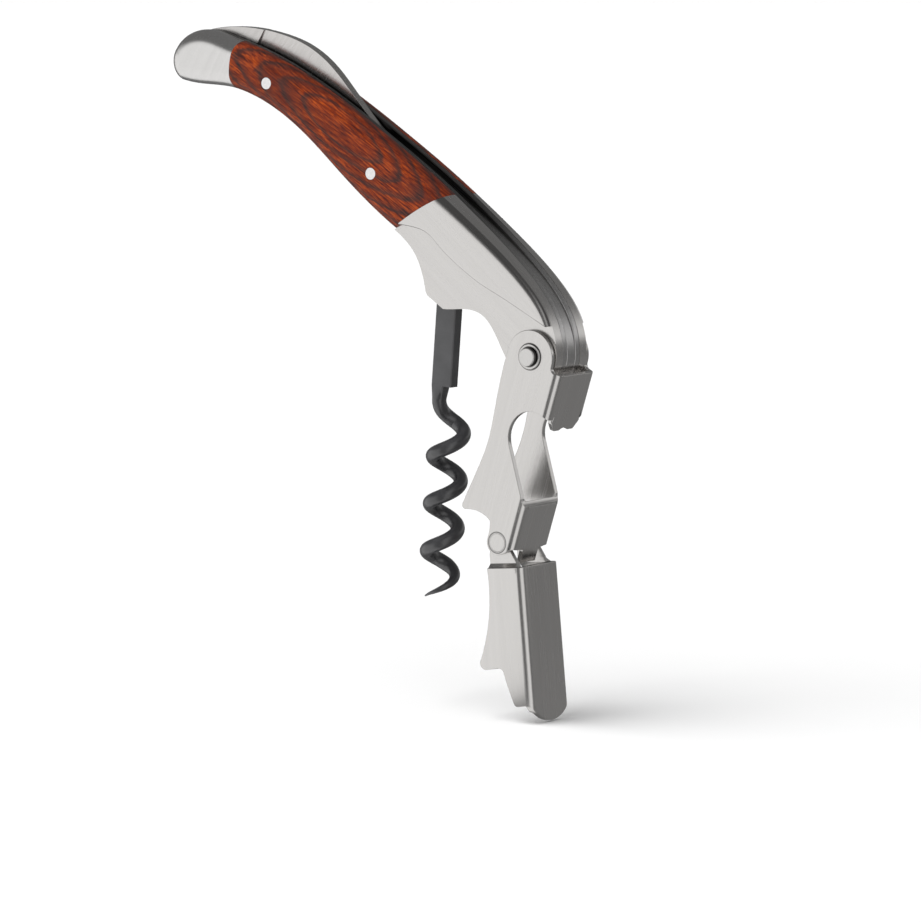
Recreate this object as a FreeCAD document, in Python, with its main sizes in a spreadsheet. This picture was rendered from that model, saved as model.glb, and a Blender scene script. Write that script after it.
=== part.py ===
"""Waiter's corkscrew: a plated handle, a folding worm, a two-piece boot lever and a foil knife.

Each moving group is drawn in a frame of its own and then placed:
  handle frame   origin on the lever pivot, -X towards the end cap, +Z towards the back
  lever frame    origin on the lever pivot, -Z down the lever, +X towards its web
  foot frame     origin on the foot pivot, -Z down the foot, +X towards its web
  worm frame     origin on the worm pivot, -Z down the shank
Y runs across the tool in all of them, and the mid-plane is Y = 0.
The row's origin is the middle of the first lip notch, which stands on the bottle's rim.
"""
import FreeCAD, Part
import math
import os

import Sketcher
from FreeCAD import Vector

DOC = FreeCAD.newDocument("waiters_corkscrew")

# ---------------------------------------------------------------- driving dimensions

SIZES = {
    # tilt of each frame at rest, clockwise in the X-Z plane, degrees
    "handle_tilt": 32.0,
    "lever_tilt": 17.5,
    "foot_tilt": -5.5,
    "worm_tilt": 4.5,
    # pivots: worm and knife in the handle frame, foot and notch in the lever frame
    "worm_pivot_x": -25.9,
    "worm_pivot_z": 0.0,
    "knife_pivot_x": -95.0,
    "knife_pivot_z": 3.8,
    "foot_pivot_x": 3.5,
    "foot_pivot_z": -35.3,
    "notch_x": -3.0,
    "notch_z": -31.45,
    # half thicknesses of the handle's stack, from the mid-plane outwards
    "slot_half": 1.30,
    "liner_outer": 2.75,
    "recess_outer": 4.85,
    "scale_outer": 6.00,
    "blind_depth": 1.40,
    # how far edges are rounded
    "crown": 2.80,
    "crown_least": 1.00,
    "step_edge": 0.45,
    # pins and rivets
    "hinge_radius": 5.15,
    "lever_pin_radius": 1.50,
    "lever_head_radius": 1.75,
    "lever_head_rise": 0.75,
    "worm_pin_radius": 1.20,
    "knife_pin_radius": 1.30,
    "scale_pin_radius": 1.20,
    "front_pin_x": -47.9,
    "front_pin_z": 8.1,
    "rear_pin_x": -77.5,
    "rear_pin_z": 8.9,
    "rivet_radius": 1.00,
    "running_gap": 0.05,
    "side_gap": 0.10,
    # upper lever: a channel of bent sheet
    "lever_sheet": 1.00,
    "lever_half": 5.95,
    "lever_web": 7.30,
    "bend_inner": 0.45,
    "bend_outer": 1.70,
    "lip_bottom": -12.10,
    "lip_half": 4.30,
    "tongue_bottom": -38.30,
    "tongue_half": 2.35,
    "eyelet_bore": 1.55,
    "eyelet_barrel": 1.95,
    "eyelet_flange": 2.40,
    "eyelet_rise": 0.30,
    "foot_rivet_radius": 1.65,
    "foot_rivet_head": 2.10,
    "foot_rivet_inset": 0.70,
    # foot lever: a channel with ears joggled inwards
    "foot_sheet": 1.00,
    "foot_half": 6.00,
    "foot_web": 5.30,
    "foot_web_top": -4.70,
    "foot_plate_end": -30.40,
    "foot_round_end": -33.60,
    "ear_radius": 2.20,
    "joggle_top": -4.00,
    "joggle_drop": 1.00,
    # worm
    "shank_width": 4.50,
    "shank_thick": 2.40,
    "shank_bevel": 0.20,
    "shoulder_depth": 20.90,
    "wire_radius": 1.35,
    "wire_neck": 2.60,
    "helix_radius": 2.75,
    "helix_offset": 1.75,
    "helix_pitch": 9.00,
    "helix_ramp": 5.00,
    "worm_depth": 60.50,
    "point_length": 5.50,
    "point_radius": 0.15,
    # knife
    "tang_half": 1.15,
    "spine_half": 1.08,
    "edge_half": 0.55,
    "plunge_x": -86.40,
}

SHEET = DOC.addObject("Spreadsheet::Sheet", "Sizes")
for row, (alias, number) in enumerate(SIZES.items(), start=1):
    SHEET.set(f"A{row}", alias)
    SHEET.set(f"B{row}", str(number))
    SHEET.setAlias(f"B{row}", alias)
DOC.recompute()


def size(alias):
    """The number in one cell of the sheet."""
    return float(SHEET.get(alias))


def cell(alias):
    """An expression that reads one cell of the sheet."""
    return f"Sizes.{alias}"


# ---------------------------------------------------------------- frames

def turned(x, z, tilt):
    """Expressions for a point of a tilted frame, turned clockwise into the row's X and Z."""
    angle = f"({tilt} * 1 deg)"
    across = f"({x} * cos{angle} + {z} * sin{angle})"
    upward = f"({z} * cos{angle} - {x} * sin{angle})"
    return across, upward


NOTCH = turned(cell("notch_x"), cell("notch_z"), cell("lever_tilt"))
LEVER_PIVOT = (f"(-{NOTCH[0]})", f"(-{NOTCH[1]})")


def from_lever_pivot(x, z, tilt):
    """Expressions for a point given in a frame whose origin is the lever pivot."""
    across, upward = turned(cell(x), cell(z), cell(tilt))
    return f"{LEVER_PIVOT[0]} + {across}", f"{LEVER_PIVOT[1]} + {upward}"


FRAMES = {
    "handle": (*LEVER_PIVOT, "handle_tilt"),
    "lever": (*LEVER_PIVOT, "lever_tilt"),
    "foot": (*from_lever_pivot("foot_pivot_x", "foot_pivot_z", "lever_tilt"), "foot_tilt"),
    "worm": (*from_lever_pivot("worm_pivot_x", "worm_pivot_z", "handle_tilt"), "worm_tilt"),
}
NODES = []


def place(piece, label, frame):
    """Puts a finished piece into its frame and keeps it as a node."""
    across, upward, tilt = FRAMES[frame]
    piece.Label = label
    piece.Placement = FreeCAD.Placement(Vector(), FreeCAD.Rotation(Vector(0, 1, 0), size(tilt)))
    piece.setExpression("Placement.Base.x", across)
    piece.setExpression("Placement.Base.z", upward)
    piece.setExpression("Placement.Rotation.Angle", cell(tilt))
    NODES.append(piece)


# ---------------------------------------------------------------- drawing helpers

class Outline:
    """An outline drawn from point to point: lines, three-point arcs and smooth curves."""

    def __init__(self, x, y):
        self.edges = []
        self.first = Vector(x, y, 0)
        self.here = self.first

    def line(self, *points):
        for x, y in points:
            end = Vector(x, y, 0)
            self.edges.append(Part.LineSegment(self.here, end))
            self.here = end
        return self

    def arc(self, via, end):
        last = Vector(*end, 0)
        self.edges.append(Part.Arc(self.here, Vector(*via, 0), last))
        self.here = last
        return self

    def curve(self, *points):
        through = [self.here] + [Vector(x, y, 0) for x, y in points]
        spline = Part.BSplineCurve()
        spline.interpolate(through)
        self.edges.append(spline)
        self.here = through[-1]
        return self

    def close(self):
        if (self.here - self.first).Length > 1e-6:
            self.edges.append(Part.LineSegment(self.here, self.first))
        return self


def polygon(*points):
    """A closed outline of straight lines."""
    return Outline(*points[0]).line(*points[1:]).close()


def new_body(name):
    return DOC.addObject("PartDesign::Body", name)


def sketch(body, name, role, shift, *outlines):
    """A sketch on one of the body's own origin planes, moved by three expressions."""
    made = body.newObject("Sketcher::SketchObject", name)
    plane = [item for item in body.Origin.OriginFeatures if item.Role == role][0]
    made.AttachmentSupport = [(plane, "")]
    made.MapMode = "FlatFace"
    for letter, value in zip("xyz", shift):
        made.setExpression(f"AttachmentOffset.Base.{letter}", value)
    for outline in outlines:
        made.addGeometry(outline.edges, False)
    return made


def side_sketch(body, name, height, *outlines):
    """A sketch seen from the side (X right, Z up) that lies at Y = height."""
    return sketch(body, name, "XZ_Plane", ("0", "0", f"-({height})"), *outlines)


def circle_sketch(body, name, centre, height, radius):
    """A side sketch of one circle, centred on two expressions, at Y = height."""
    made = sketch(body, name, "XZ_Plane", (*centre, f"-({height})"))
    made.addGeometry(Part.Circle(Vector(), Vector(0, 0, 1), 1.0), False)
    made.addConstraint(Sketcher.Constraint("Coincident", 0, 3, -1, 1))
    index = made.addConstraint(Sketcher.Constraint("Radius", 0, 1.0))
    made.renameConstraint(index, "radius")
    made.setExpression("Constraints.radius", radius)
    return made


def feature(body, kind, name, profile, length, reverse=False, middle=False):
    """A Pad or Pocket of a sketch, with its length bound to an expression."""
    made = body.newObject(f"PartDesign::{kind}", name)
    made.Profile = profile
    made.Reversed = reverse
    made.Midplane = middle
    made.setExpression("Length", length)
    profile.Visibility = False
    return made


def drill(body, name, centre, radius, low, high):
    """A round hole through a piece from Y = low to Y = high."""
    profile = circle_sketch(body, f"{name}_sketch", centre, low, radius)
    DOC.recompute()
    before = body.Shape.Volume
    made = feature(body, "Pocket", name, profile, f"({high}) - ({low})")
    DOC.recompute()
    if body.Shape.Volume > before - 1e-6:
        made.Reversed = True
        DOC.recompute()
    if body.Shape.Volume > before - 1e-6:
        raise RuntimeError(f"{name} cuts nothing")
    return made


def edges_where(shape, test):
    """Names of the edges whose middle point passes a test."""
    names = []
    for index, edge in enumerate(shape.Edges, start=1):
        middle = edge.valueAt((edge.FirstParameter + edge.LastParameter) / 2)
        if test(middle, edge):
            names.append(f"Edge{index}")
    return names


def round_edges(body, name, test, radius, kind="Fillet"):
    """A fillet or chamfer on the edges of the body that pass a test."""
    DOC.recompute()
    base = body.Tip
    names = edges_where(base.Shape, test)
    if not names:
        raise RuntimeError(f"{name} finds no edge")
    made = body.newObject(f"PartDesign::{kind}", name)
    made.Base = (base, names)
    made.setExpression("Radius" if kind == "Fillet" else "Size", radius)
    DOC.recompute()
    return made


def slab(label, outline, side, inner, outer):
    """A flat piece on one side of the mid-plane, from |Y| = inner to |Y| = outer."""
    body = new_body(label)
    height = inner if side > 0 else f"-({inner})"
    profile = side_sketch(body, f"{label}_outline", height, outline)
    feature(body, "Pad", f"{label}_pad", profile, f"{outer} - {inner}", reverse=side > 0)
    return body


def side_drill(body, name, centre, radius, side, inner, outer):
    """A round hole between |Y| = inner and |Y| = outer on one side."""
    low, high = (inner, outer) if side > 0 else (f"-({outer})", f"-({inner})")
    return drill(body, name, centre, radius, low, high)


def round_pin(label, frame, centre, radius, half, tip_chamfer=0.1):
    """A plain pin across the tool, from Y = -half to Y = +half, with broken edges."""
    body = new_body(label)
    profile = circle_sketch(body, f"{label}_circle", centre, "0", radius)
    feature(body, "Pad", f"{label}_pad", profile, f"2 * ({half})", middle=True)
    round_edges(body, f"{label}_edges", lambda middle, edge: edge.Length > 1 and edge.Closed,
                str(tip_chamfer), "Chamfer")
    place(body, label, frame)
    return body


SIDES = {"left": -1, "right": 1}
LINER, RECESS, SCALE = cell("liner_outer"), cell("recess_outer"), cell("scale_outer")
SLOT = cell("slot_half")
BLIND = f"{LINER} + {cell('blind_depth')}"

# centres of the pins in the handle frame
LEVER_CENTRE = ("0", "0")
WORM_CENTRE = (cell("worm_pivot_x"), cell("worm_pivot_z"))
KNIFE_CENTRE = (cell("knife_pivot_x"), cell("knife_pivot_z"))
FRONT_PIN = (cell("front_pin_x"), cell("front_pin_z"))
REAR_PIN = (cell("rear_pin_x"), cell("rear_pin_z"))
FRONT_RIVETS = (("-32.2", "9.0"), ("-10.5", "4.5"))
END_RIVET = ("-89.2", "3.0")

# ---------------------------------------------------------------- the handle's outline

HINGE = size("hinge_radius")


def on_hinge_end(degrees):
    """A point of the round hinge end."""
    return HINGE * math.cos(math.radians(degrees)), HINGE * math.sin(math.radians(degrees))


HINGE_TOP = on_hinge_end(33)
HINGE_RIGHT = on_hinge_end(-30)
HINGE_BOTTOM = on_hinge_end(-112)

# corners where the wood meets the front bolster and the end bolster
FRONT_TOP = (-31.4, 14.25)
FRONT_BOTTOM = (-38.4, 1.9)
REAR_TOP = (-88.0, 11.6)
REAR_BOTTOM = (-84.2, 3.3)
# middles of the two joints: both lines are slightly hollow
FRONT_JOINT = (-35.1, 8.8)
REAR_JOINT = (-87.0, 7.3)

WOOD_BACK = [(-40, 14.75), (-50, 14.95), (-60, 14.95), (-70, 14.5), (-79.5, 13.4), REAR_TOP]
WOOD_BELLY = [(-80, 4.4), (-72, 5.2), (-64.5, 4.8), (-54.3, 3.3), (-45, 2.2), FRONT_BOTTOM]
CAP_BACK = [(-91.4, 10.7), (-94.8, 9.7), (-97.8, 7.9), (-99.9, 5.3), (-100.7, 2.4)]
CAP_NOSE = [(-100.2, -0.3), (-98.6, -2.0), (-96.4, -2.5)]
CAP_BELLY = [(-93.0, -1.1), (-88.4, 1.4), REAR_BOTTOM]
BOLSTER_BACK = [(-2.6, 8.9), (-7.2, 10.6), (-14.5, 12.2), (-22.8, 13.35), FRONT_TOP]
BELLY_FRONT = [(-35.1, 1.6), (-32.3, 0.8), (-29.2, -1.1), (-26.4, -3.8)]
BELLY_FLAT = [(-25.7, -4.2), (-21.4, -4.3)]
BELLY_REAR = [(-18.6, -2.4), (-16.2, -0.9), (-13.6, -0.2), (-10.4, -0.9), HINGE_BOTTOM]


def add_hinge_end(outline):
    """From the belly round the hinge end to where the back edge begins."""
    return outline.curve(*BELLY_REAR).arc(HINGE_RIGHT, HINGE_TOP)


def add_belly(outline):
    """The bolster's belly, with the flat hump that hides the worm's pivot."""
    return add_hinge_end(outline.curve(*BELLY_FRONT).line(*BELLY_FLAT))


def liner_outline():
    outline = Outline(*REAR_TOP).curve(*CAP_BACK).curve(*CAP_NOSE).curve(*CAP_BELLY)
    outline.curve(*WOOD_BELLY)
    return add_belly(outline).curve(*BOLSTER_BACK).curve(*WOOD_BACK)


def bolster_outline():
    outline = add_belly(Outline(*FRONT_BOTTOM)).curve(*BOLSTER_BACK)
    return outline.arc(FRONT_JOINT, FRONT_BOTTOM)


# the step between the raised bolster and the flat recess that the folded lever nests in
STEP_START = (-37.75, 3.55)
STEP_LINE = [(-34.8, 4.95), (-31.3, 5.9), (-27.4, 5.3), (-22.6, 4.8), (-16.8, 4.75),
             (-11.8, 5.3), (-5.5, 5.9), (-0.2, 6.35)]
RAISED_END = (0.45, 7.0)
RAISED_BACK = [(-2.6, 8.9), (-7.2, 10.6), (-14.5, 12.2), (-22.8, 13.35), FRONT_TOP]


def raised_outline():
    outline = Outline(*STEP_START).curve(*STEP_LINE).line(RAISED_END).curve(*RAISED_BACK)
    return outline.arc((-34.6, 9.7), STEP_START)


def scale_outline():
    outline = Outline(*FRONT_TOP).curve(*WOOD_BACK).arc(REAR_JOINT, REAR_BOTTOM)
    return outline.curve(*WOOD_BELLY).arc(FRONT_JOINT, FRONT_TOP)


def cap_outline():
    outline = Outline(*REAR_TOP).curve(*CAP_BACK).curve(*CAP_NOSE).curve(*CAP_BELLY)
    return outline.arc(REAR_JOINT, REAR_TOP)


# ---------------------------------------------------------------- handle pieces

def make_liner(name, side):
    label = f"{name}_liner"
    body = slab(label, liner_outline(), side, SLOT, LINER)
    holes = [("lever_hole", LEVER_CENTRE, cell("lever_pin_radius")),
             ("worm_hole", WORM_CENTRE, cell("worm_pin_radius")),
             ("knife_hole", KNIFE_CENTRE, cell("knife_pin_radius")),
             ("front_pin_hole", FRONT_PIN, cell("scale_pin_radius")),
             ("rear_pin_hole", REAR_PIN, cell("scale_pin_radius")),
             ("rivet_hole_a", FRONT_RIVETS[0], cell("rivet_radius")),
             ("rivet_hole_b", FRONT_RIVETS[1], cell("rivet_radius")),
             ("rivet_hole_c", END_RIVET, cell("rivet_radius"))]
    for hole, centre, radius in holes:
        side_drill(body, f"{label}_{hole}", centre, radius, side, SLOT, LINER)
    place(body, label, "handle")


def crown_cutter(side):
    """What is ground off the bolster's back edge: a full crown at the wood, a slight one at the hinge."""
    outer = size("scale_outer")
    backs = [Vector(x, side * outer, z) for x, z in (RAISED_END, *RAISED_BACK, WOOD_BACK[0])]
    path = Part.BSplineCurve()
    path.interpolate(backs)
    beyond = path.length() / path.length(path.FirstParameter, path.parameter(backs[-2]))
    least = size("crown_least")
    sections = []
    for parameter, radius in ((path.FirstParameter, least),
                              (path.LastParameter, least + (size("crown") - least) * beyond)):
        corner, along = path.value(parameter), path.tangent(parameter)[0]
        out = Vector(0, side, 0)
        up = along.cross(Vector(0, 1, 0)).normalize()
        up = up if up.z > 0 else -up
        face, back = corner - up * radius, corner - out * radius
        centre = face - out * radius
        over = 0.5
        middle = centre + (up + out).normalize() * radius
        waste = [face, face + out * over, corner + (up + out) * over, back + up * over, back]
        round_side = Part.Arc(back, middle, face).toShape()
        sections.append(Part.Wire(Part.makePolygon(waste).Edges + [round_side]))
    sweep = Part.BRepOffsetAPI.MakePipeShell(Part.Wire(path.toShape()))
    sweep.setBiNormalMode(Vector(0, 1, 0))
    for section in sections:
        sweep.add(section)
    sweep.build()
    sweep.makeSolid()
    return sweep.shape()


def make_front_bolster(name, side):
    label = f"{name}_front_bolster"
    body = slab(f"{label}_plate", bolster_outline(), side, LINER, RECESS)
    height = RECESS if side > 0 else f"-({RECESS})"
    raised = side_sketch(body, f"{label}_raised_outline", height, raised_outline())
    feature(body, "Pad", f"{label}_raised", raised, f"{SCALE} - {RECESS}", reverse=side > 0)
    outer = size("scale_outer")

    def step_edge(middle, edge):
        return abs(abs(middle.y) - outer) < 1e-3 and edge.Length > 20 and middle.z < 8

    round_edges(body, f"{label}_step", step_edge, cell("step_edge"))
    side_drill(body, f"{label}_lever_hole", LEVER_CENTRE, cell("lever_pin_radius"), side,
               LINER, RECESS)
    side_drill(body, f"{label}_worm_hole", WORM_CENTRE, cell("worm_pin_radius"), side,
               LINER, BLIND)
    for letter, centre in zip("ab", FRONT_RIVETS):
        side_drill(body, f"{label}_rivet_hole_{letter}", centre, cell("rivet_radius"), side,
                   LINER, BLIND)
    cutter = DOC.addObject("Part::Feature", f"{label}_crown_cutter")
    cutter.Shape = crown_cutter(side)
    crowned = DOC.addObject("Part::Cut", f"{label}_crowned")
    crowned.Base, crowned.Tool = body, cutter
    place(crowned, label, "handle")


def make_end_bolster(name, side):
    label = f"{name}_end_bolster"
    body = slab(label, cap_outline(), side, LINER, SCALE)
    outer = size("scale_outer")
    rear = (REAR_TOP[0] + 0.3, REAR_BOTTOM[0] - 0.5)

    def round_nose(middle, edge):
        on_face = abs(abs(middle.y) - outer) < 1e-3
        return on_face and middle.x < rear[1] - 1.5 and (middle.x < rear[0] or middle.z < 3)

    round_edges(body, f"{label}_rounding", round_nose, cell("crown"))
    side_drill(body, f"{label}_knife_hole", KNIFE_CENTRE, cell("knife_pin_radius"), side,
               LINER, BLIND)
    side_drill(body, f"{label}_rivet_hole", END_RIVET, cell("rivet_radius"), side, LINER, BLIND)
    place(body, label, "handle")


def make_scale(name, side):
    label = f"{name}_scale"
    body = slab(label, scale_outline(), side, LINER, SCALE)
    outer = size("scale_outer")

    def long_edge(middle, edge):
        return abs(abs(middle.y) - outer) < 1e-3 and edge.Length > 20

    round_edges(body, f"{label}_crown", long_edge, cell("crown"))
    for hole, centre in (("front", FRONT_PIN), ("rear", REAR_PIN)):
        side_drill(body, f"{label}_{hole}_hole", centre, cell("scale_pin_radius"), side,
                   LINER, SCALE)
    place(body, label, "handle")


def make_back_spring():
    """The spine between the liners: under the knife, over the worm, out to the hinge end."""
    outline = Outline(-86.3, 9.7).line((-60.5, 9.7)).curve((-56, 11.3), (-52, 13.5))
    outline.curve((-45, 13.9), (-31.5, 13.5), (-17.4, 12.2), (-7.2, 10.3), (-2.6, 8.6), HINGE_TOP)
    outline.arc(HINGE_RIGHT, HINGE_BOTTOM).curve((-10.4, -0.7), (-13.6, 0.0), (-16.4, -0.6))
    outline.line((-22.0, 3.1), (-46.0, 3.1)).curve((-54.5, 3.9), (-64.5, 5.3), (-72, 5.7),
                                                   (-80, 4.9), (-84.5, 3.7), (-90.6, 1.1))
    outline.line((-90.4, 4.4), (-88.4, 8.0)).close()
    body = new_body("back_spring")
    profile = side_sketch(body, "back_spring_outline", "0", outline)
    feature(body, "Pad", "back_spring_pad", profile, f"2 * {SLOT}", middle=True)
    holes = [("lever_hole", LEVER_CENTRE, cell("lever_pin_radius")),
             ("front_pin_hole", FRONT_PIN, cell("scale_pin_radius")),
             ("rear_pin_hole", REAR_PIN, cell("scale_pin_radius")),
             ("rivet_hole_a", FRONT_RIVETS[0], cell("rivet_radius")),
             ("rivet_hole_b", FRONT_RIVETS[1], cell("rivet_radius")),
             ("rivet_hole_c", END_RIVET, cell("rivet_radius"))]
    for hole, centre, radius in holes:
        drill(body, f"back_spring_{hole}", centre, radius, f"-({SLOT})", SLOT)
    place(body, "back_spring", "handle")


def make_lever_pin():
    """The lever pivot: a shaft through the stack and both eyelets, with a domed head each side."""
    radius, head = size("lever_pin_radius"), size("lever_head_radius")
    base = size("lever_half") + size("eyelet_rise") + size("side_gap")
    top = base + size("lever_head_rise")
    crown = 0.3
    body = new_body("lever_pivot_pin")
    half = Outline(0, -top).line((head - crown, -top))
    half.arc((head - crown * 0.29, -top + crown * 0.29), (head, -top + crown))
    half.line((head, -base), (radius, -base), (radius, base), (head, base), (head, top - crown))
    half.arc((head - crown * 0.29, top - crown * 0.29), (head - crown, top))
    half.line((0, top)).close()
    profile = sketch(body, "lever_pivot_pin_half", "XY_Plane", ("0", "0", "0"), half)
    turned_pin = body.newObject("PartDesign::Revolution", "lever_pivot_pin_turned")
    turned_pin.Profile = profile
    turned_pin.ReferenceAxis = (profile, ["V_Axis"])
    turned_pin.Angle = 360
    place(body, "lever_pivot_pin", "handle")


def make_rivet_group(label, centres):
    """Hidden rivets that hold the bolsters to the liners, as one group."""
    rivets = []
    for index, centre in enumerate(centres, start=1):
        rivet = DOC.addObject("Part::Cylinder", f"{label}_{index}")
        rivet.Placement = FreeCAD.Placement(Vector(), FreeCAD.Rotation(Vector(1, 0, 0), -90))
        rivet.setExpression("Radius", cell("rivet_radius"))
        rivet.setExpression("Height", f"2 * ({BLIND})")
        rivet.setExpression("Placement.Base.x", centre[0])
        rivet.setExpression("Placement.Base.y", f"-({BLIND})")
        rivet.setExpression("Placement.Base.z", centre[1])
        rivets.append(rivet)
    group = DOC.addObject("Part::Compound", label)
    group.Links = rivets
    place(group, label, "handle")


for side_name, side_sign in SIDES.items():
    make_liner(side_name, side_sign)
    make_front_bolster(side_name, side_sign)
    make_end_bolster(side_name, side_sign)
    make_scale(side_name, side_sign)
make_back_spring()
make_lever_pin()
round_pin("worm_pivot_pin", "handle", WORM_CENTRE, cell("worm_pin_radius"), BLIND)
round_pin("knife_pivot_pin", "handle", KNIFE_CENTRE, cell("knife_pin_radius"), BLIND)
round_pin("front_scale_pin", "handle", FRONT_PIN, cell("scale_pin_radius"), SCALE)
round_pin("rear_scale_pin", "handle", REAR_PIN, cell("scale_pin_radius"), SCALE)
make_rivet_group("front_bolster_rivets", FRONT_RIVETS)
make_rivet_group("end_bolster_rivet", (END_RIVET,))


# ---------------------------------------------------------------- levers

def channel_section(front, web, half, sheet, bend):
    """The section of a bent channel in X and Y, open towards -X."""
    outer = size("bend_outer")
    slant = math.sqrt(0.5)
    out_x, in_x = web - outer, web - sheet
    section = Outline(front, -half).line((out_x, -half))
    section.arc((out_x + outer * slant, -half + outer - outer * slant), (web, -half + outer))
    section.line((web, half - outer))
    section.arc((out_x + outer * slant, half - outer + outer * slant), (out_x, half))
    section.line((front, half), (front, half - sheet))
    middle_x, middle_y = in_x - bend, half - sheet - bend
    section.line((middle_x, half - sheet))
    section.arc((middle_x + bend * slant, middle_y + bend * slant), (in_x, middle_y))
    section.line((in_x, -middle_y))
    section.arc((middle_x + bend * slant, -middle_y - bend * slant), (middle_x, -half + sheet))
    return section.line((front, -half + sheet)).close()


def channel(body, label, front, top, bottom, web, half, sheet):
    """A straight bent channel from Z = bottom to Z = top."""
    section = channel_section(front, size(web), size(half), size(sheet), size("bend_inner"))
    profile = sketch(body, f"{label}_section", "XY_Plane", ("0", "0", str(bottom)), section)
    feature(body, "Pad", f"{label}_channel", profile, str(top - bottom))


def keep_inside(body, name, outline, half):
    """Cuts away all that lies outside a side outline."""
    reach = 90.0
    frame = polygon((-reach, -reach), (reach, -reach), (reach, reach), (-reach, reach))
    profile = side_sketch(body, f"{name}_sketch", "0", frame, outline)
    feature(body, "Pocket", name, profile, f"2 * ({half}) + 10", middle=True)


def lever_outline():
    """The upper lever seen from the side, with the lip notch and its tooth."""
    outline = Outline(9, -1.2).line((6.0, -1.2)).arc((5.3, -0.95), (4.98, -0.3))
    outline.arc((0.0, 4.85), (-5.0, -0.8))
    outline.curve((-5.0, -5.2), (-4.5, -12), (-4.15, -18.5), (-4.9, -24.4), (-6.0, -30.9))
    outline.arc((-5.95, -31.75), (-5.3, -32.1))
    outline.curve((-3.0, -31.45), (-0.9, -31.5), (0.75, -32.1))
    outline.line((1.15, -33.8), (1.15, -35.3))
    outline.arc((2.4, -37.4), (4.4, -37.45)).line((6.0, -36.3)).arc((6.5, -35.7), (7.0, -35.5))
    return outline.line((9, -35.5)).close()


def window_outline():
    """The window through both plates and the web, between the two bridges."""
    outline = Outline(9, -9.9).line((6.6, -9.9)).arc((3.6, -9.4), (1.0, -11.0))
    outline.arc((-0.25, -14.0), (0.6, -17.2)).line((6.1, -25.6)).arc((6.7, -26.6), (7.3, -27.0))
    return outline.line((9, -27.0)).close()


def make_upper_lever():
    body = new_body("upper_lever")
    channel(body, "upper_lever", -7.0, 6.0, -38.0, "lever_web", "lever_half", "lever_sheet")
    keep_inside(body, "upper_lever_trim", lever_outline(), cell("lever_half"))
    window = side_sketch(body, "upper_lever_window_outline", "0", window_outline())
    feature(body, "Pocket", "upper_lever_window", window, "30", middle=True)
    lip_half, lip = size("lip_half"), size("lip_bottom")
    lip_outline = Outline(-lip_half, -8.5).line((-lip_half, -10.6), (-lip_half + 1.3, lip),
                                                (-1.4, lip)).arc((0, lip + 0.45), (1.4, lip))
    lip_outline.line((lip_half - 1.3, lip), (lip_half, -10.6), (lip_half, -8.5)).close()
    tongue_half, tongue = size("tongue_half"), size("tongue_bottom")
    flare = tongue_half + 0.9
    tongue_outline = Outline(-tongue_half, tongue).line((-tongue_half, -36.1))
    tongue_outline.arc((-tongue_half - 0.35, -35.65), (-flare - 0.2, -35.2)).line((flare + 0.2, -35.2))
    tongue_outline.arc((tongue_half + 0.35, -35.65), (tongue_half, -36.1))
    tongue_outline.line((tongue_half, tongue)).close()
    for name, outline in (("cap_lip", lip_outline), ("tongue", tongue_outline)):
        inner = f"{cell('lever_web')} - {cell('lever_sheet')}"
        profile = sketch(body, f"upper_lever_{name}_outline", "YZ_Plane", ("0", "0", inner), outline)
        feature(body, "Pad", f"upper_lever_{name}", profile, cell("lever_sheet"))
    DOC.recompute()
    half = cell("lever_half")
    drill(body, "upper_lever_eyelet_hole", LEVER_CENTRE, cell("eyelet_barrel"), f"-({half})", half)
    centre = (cell("foot_pivot_x"), cell("foot_pivot_z"))
    drill(body, "upper_lever_rivet_hole", centre, cell("foot_rivet_radius"), f"-({half})", half)
    place(body, "upper_lever", "lever")


def ring_of_revolution(label, frame, centre, half_outline):
    """A round piece turned about the Y axis through a point of its frame."""
    body = new_body(label)
    shift = (centre[0], "0", centre[1])
    profile = sketch(body, f"{label}_half", "XY_Plane", shift, half_outline)
    ring = body.newObject("PartDesign::Revolution", f"{label}_turned")
    ring.Profile = profile
    ring.ReferenceAxis = (profile, ["V_Axis"])
    ring.Angle = 360
    place(body, label, frame)
    return body


def make_eyelet(name, side):
    """A flanged eyelet pressed into the lever's ear, the bush that turns on the pivot pin."""
    bore, barrel, flange = size("eyelet_bore"), size("eyelet_barrel"), size("eyelet_flange")
    inner = size("lever_half") - size("lever_sheet")
    face = size("lever_half")
    top = face + size("eyelet_rise")
    bevel = 0.15
    points = [(bore, inner), (barrel, inner), (barrel, face), (flange, face),
              (flange, top - bevel), (flange - bevel, top), (bore, top)]
    half = polygon(*[(radius, side * height) for radius, height in points])
    ring_of_revolution(f"{name}_pivot_eyelet", "lever", LEVER_CENTRE, half)


def make_foot_rivet(name, side):
    """A stepped rivet, flush with the lever's plate, that the foot's ear turns on."""
    radius, head = size("foot_rivet_radius"), size("foot_rivet_head")
    face = size("lever_half")
    ear_inner = face - size("lever_sheet") - size("side_gap") - size("foot_sheet")
    head_top = ear_inner - size("side_gap")
    end = head_top - size("foot_rivet_inset")
    points = [(0, end), (head, end), (head, head_top), (radius, head_top), (radius, face), (0, face)]
    half = polygon(*[(across, side * height) for across, height in points])
    centre = (cell("foot_pivot_x"), cell("foot_pivot_z"))
    ring_of_revolution(f"{name}_foot_rivet", "lever", centre, half)


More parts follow.
